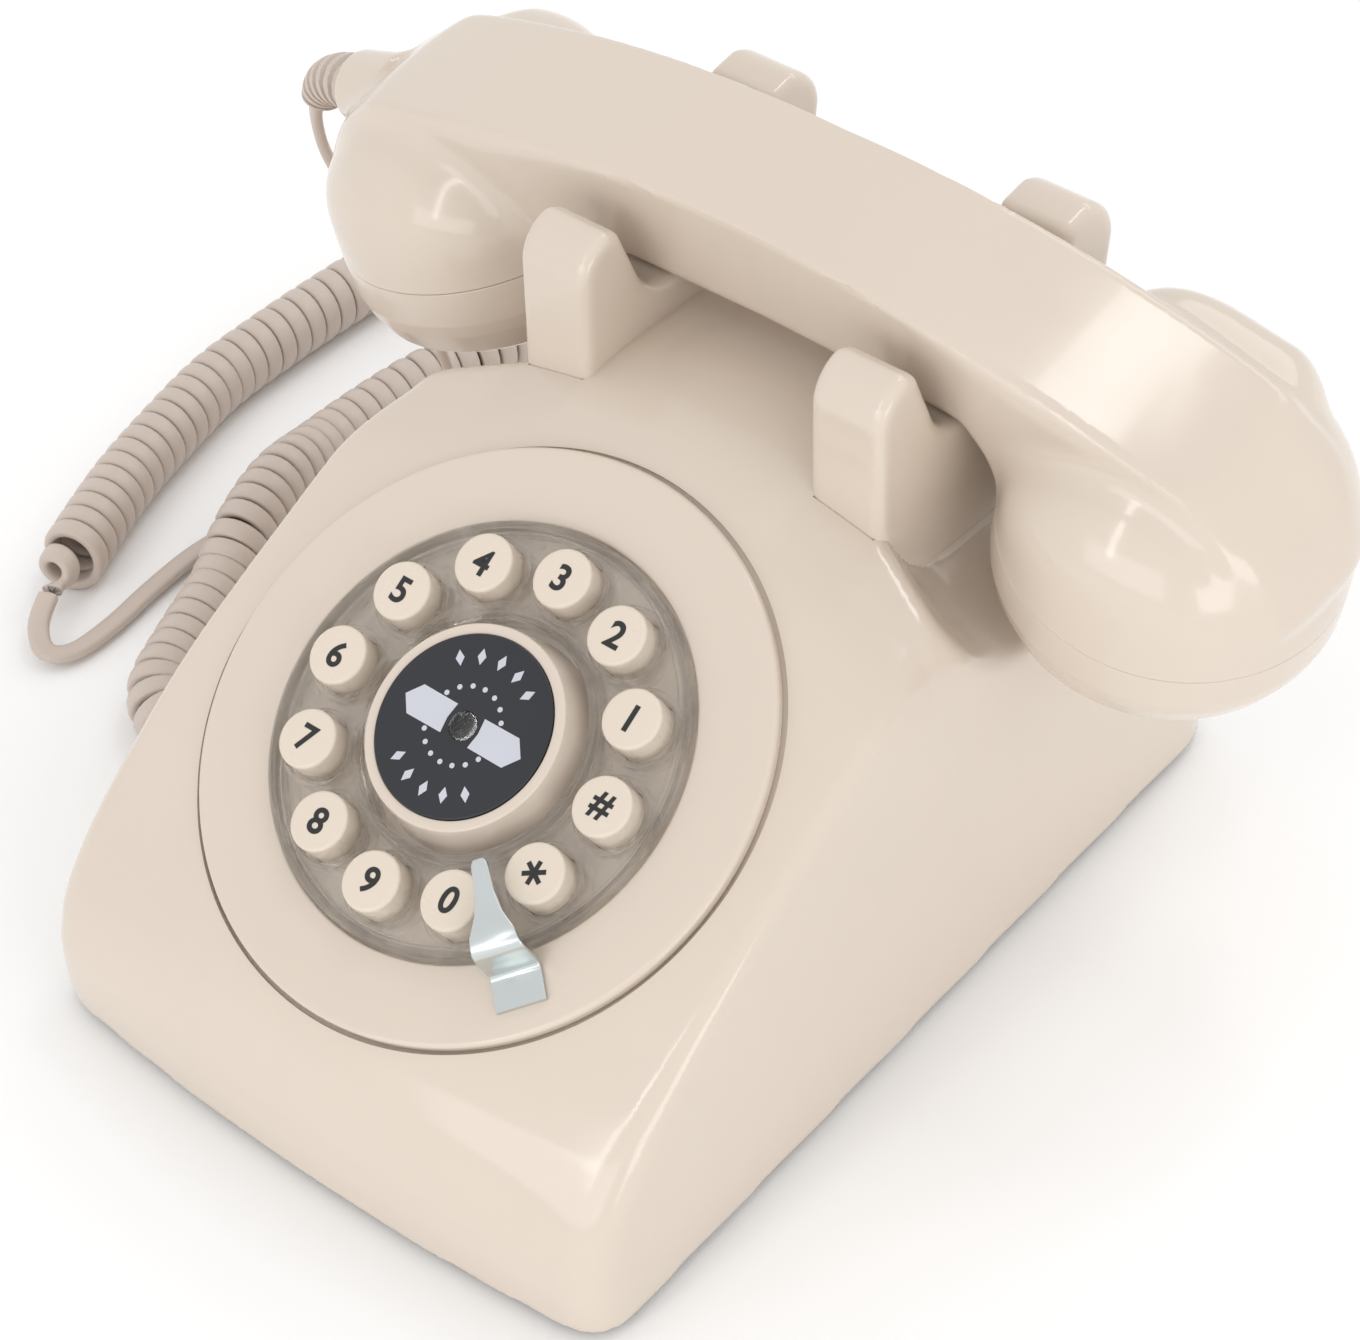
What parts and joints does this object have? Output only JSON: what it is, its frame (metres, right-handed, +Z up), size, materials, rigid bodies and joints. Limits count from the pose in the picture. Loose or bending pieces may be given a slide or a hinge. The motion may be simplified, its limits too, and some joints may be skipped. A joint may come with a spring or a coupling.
{
  "type": "corded landline phone",
  "caption": "Push-button desk telephone with round keys in a ring on a sloped face, a handset across two saddle yokes and a curly cord.",
  "frame": {"origin": "on the table, on the body's plane of symmetry, halfway between its front edge and its back edge; the mount stand_centre", "axes": "+X to the caller's right, +Y away from the caller, +Z up"},
  "size_m": [0.2912, 0.2352, 0.1415],
  "materials": {
    "shell": "glossy cream moulded plastic",
    "key_plastic": "glossy cream key caps with black printed figures",
    "base_plastic": "black textured plastic",
    "foot_rubber": "black rubber",
    "screw_steel": "zinc plated steel",
    "clear_plastic": "clear moulded plastic",
    "card_black": "black disc with a printed pattern of plain dots and a bar",
    "circuit_board": "green circuit board",
    "bright_steel": "bright plated steel",
    "silicone": "grey silicone",
    "plunger_plastic": "ivory plastic",
    "dark_plastic": "black plastic",
    "ballast_iron": "plain iron",
    "cord_rubber": "soft cream cord jacket"
  },
  "bodies": {
    "base": {"housing": "shell", "base_plate": "base_plastic", "feet": "foot_rubber", "base_screws": "screw_steel", "dial_plate": "shell", "clear_dial_ring": "clear_plastic", "dial_hub": "shell", "dial_card": "card_black", "call_lens": "clear_plastic", "call_light_board": "circuit_board", "finger_stop": "bright_steel", "key_mat": "silicone", "keypad_board": "circuit_board", "keypad_screws": "screw_steel", "left_yoke": "shell", "right_yoke": "shell", "hook_switch": "dark_plastic", "main_board": "circuit_board", "ringer_speaker": "dark_plastic", "ballast_weight": "ballast_iron", "line_jack": "dark_plastic", "handset_jack": "dark_plastic", "cord_plug": "clear_plastic", "curly_cord": "cord_rubber", "cord_lead_base": "cord_rubber", "cord_lead_handset": "cord_rubber"},
    "handset": {"handset_shell": "shell", "mouth_cap": "shell", "ear_cap": "shell", "microphone": "dark_plastic", "receiver": "dark_plastic", "handset_weight": "ballast_iron", "strain_relief": "cord_rubber"},
    "hook": {"hook_plunger_left": "plunger_plastic", "hook_plunger_right": "plunger_plastic", "hook_bar": "dark_plastic"},
    "ringer_slider": {"ringer_slider": "dark_plastic"},
    "button_1": {"key_1": "key_plastic"},
    "button_2": {"key_2": "key_plastic"},
    "button_3": {"key_3": "key_plastic"},
    "button_4": {"key_4": "key_plastic"},
    "button_5": {"key_5": "key_plastic"},
    "button_6": {"key_6": "key_plastic"},
    "button_7": {"key_7": "key_plastic"},
    "button_8": {"key_8": "key_plastic"},
    "button_9": {"key_9": "key_plastic"},
    "button_0": {"key_0": "key_plastic"},
    "button_star": {"key_star": "key_plastic"},
    "button_hash": {"key_hash": "key_plastic"}
  },
  "joints": [
    {"name": "handset_lift", "type": "slide", "parent": "base", "child": "handset", "axis": [0, 0, 1], "range_m": [0, 0.06]},
    {"name": "hook_rise", "type": "slide", "parent": "base", "child": "hook", "axis": [0, 0, 1], "range_m": [0, 0.004]},
    {"name": "ringer_slide", "type": "slide", "parent": "base", "child": "ringer_slider", "axis": [1, 0, 0], "range_m": [-0.002, 0.002]},
    {"name": "key_1_press", "type": "slide", "parent": "base", "child": "button_1", "axis": [0, 0.5483, -0.8363], "range_m": [0, 0.0015], "stiffness_N_per_m": 150, "springref_m": -0.0005},
    {"name": "key_2_press", "type": "slide", "parent": "base", "child": "button_2", "axis": [0, 0.5483, -0.8363], "range_m": [0, 0.0015], "stiffness_N_per_m": 150, "springref_m": -0.0005},
    {"name": "key_3_press", "type": "slide", "parent": "base", "child": "button_3", "axis": [0, 0.5483, -0.8363], "range_m": [0, 0.0015], "stiffness_N_per_m": 150, "springref_m": -0.0005},
    {"name": "key_4_press", "type": "slide", "parent": "base", "child": "button_4", "axis": [0, 0.5483, -0.8363], "range_m": [0, 0.0015], "stiffness_N_per_m": 150, "springref_m": -0.0005},
    {"name": "key_5_press", "type": "slide", "parent": "base", "child": "button_5", "axis": [0, 0.5483, -0.8363], "range_m": [0, 0.0015], "stiffness_N_per_m": 150, "springref_m": -0.0005},
    {"name": "key_6_press", "type": "slide", "parent": "base", "child": "button_6", "axis": [0, 0.5483, -0.8363], "range_m": [0, 0.0015], "stiffness_N_per_m": 150, "springref_m": -0.0005},
    {"name": "key_7_press", "type": "slide", "parent": "base", "child": "button_7", "axis": [0, 0.5483, -0.8363], "range_m": [0, 0.0015], "stiffness_N_per_m": 150, "springref_m": -0.0005},
    {"name": "key_8_press", "type": "slide", "parent": "base", "child": "button_8", "axis": [0, 0.5483, -0.8363], "range_m": [0, 0.0015], "stiffness_N_per_m": 150, "springref_m": -0.0005},
    {"name": "key_9_press", "type": "slide", "parent": "base", "child": "button_9", "axis": [0, 0.5483, -0.8363], "range_m": [0, 0.0015], "stiffness_N_per_m": 150, "springref_m": -0.0005},
    {"name": "key_0_press", "type": "slide", "parent": "base", "child": "button_0", "axis": [0, 0.5483, -0.8363], "range_m": [0, 0.0015], "stiffness_N_per_m": 150, "springref_m": -0.0005},
    {"name": "key_star_press", "type": "slide", "parent": "base", "child": "button_star", "axis": [0, 0.5483, -0.8363], "range_m": [0, 0.0015], "stiffness_N_per_m": 150, "springref_m": -0.0005},
    {"name": "key_hash_press", "type": "slide", "parent": "base", "child": "button_hash", "axis": [0, 0.5483, -0.8363], "range_m": [0, 0.0015], "stiffness_N_per_m": 150, "springref_m": -0.0005}
  ],
  "couplings": [
    {"joint": "hook_rise", "follows": "handset_lift", "ratio": 0.066667}
  ]
}
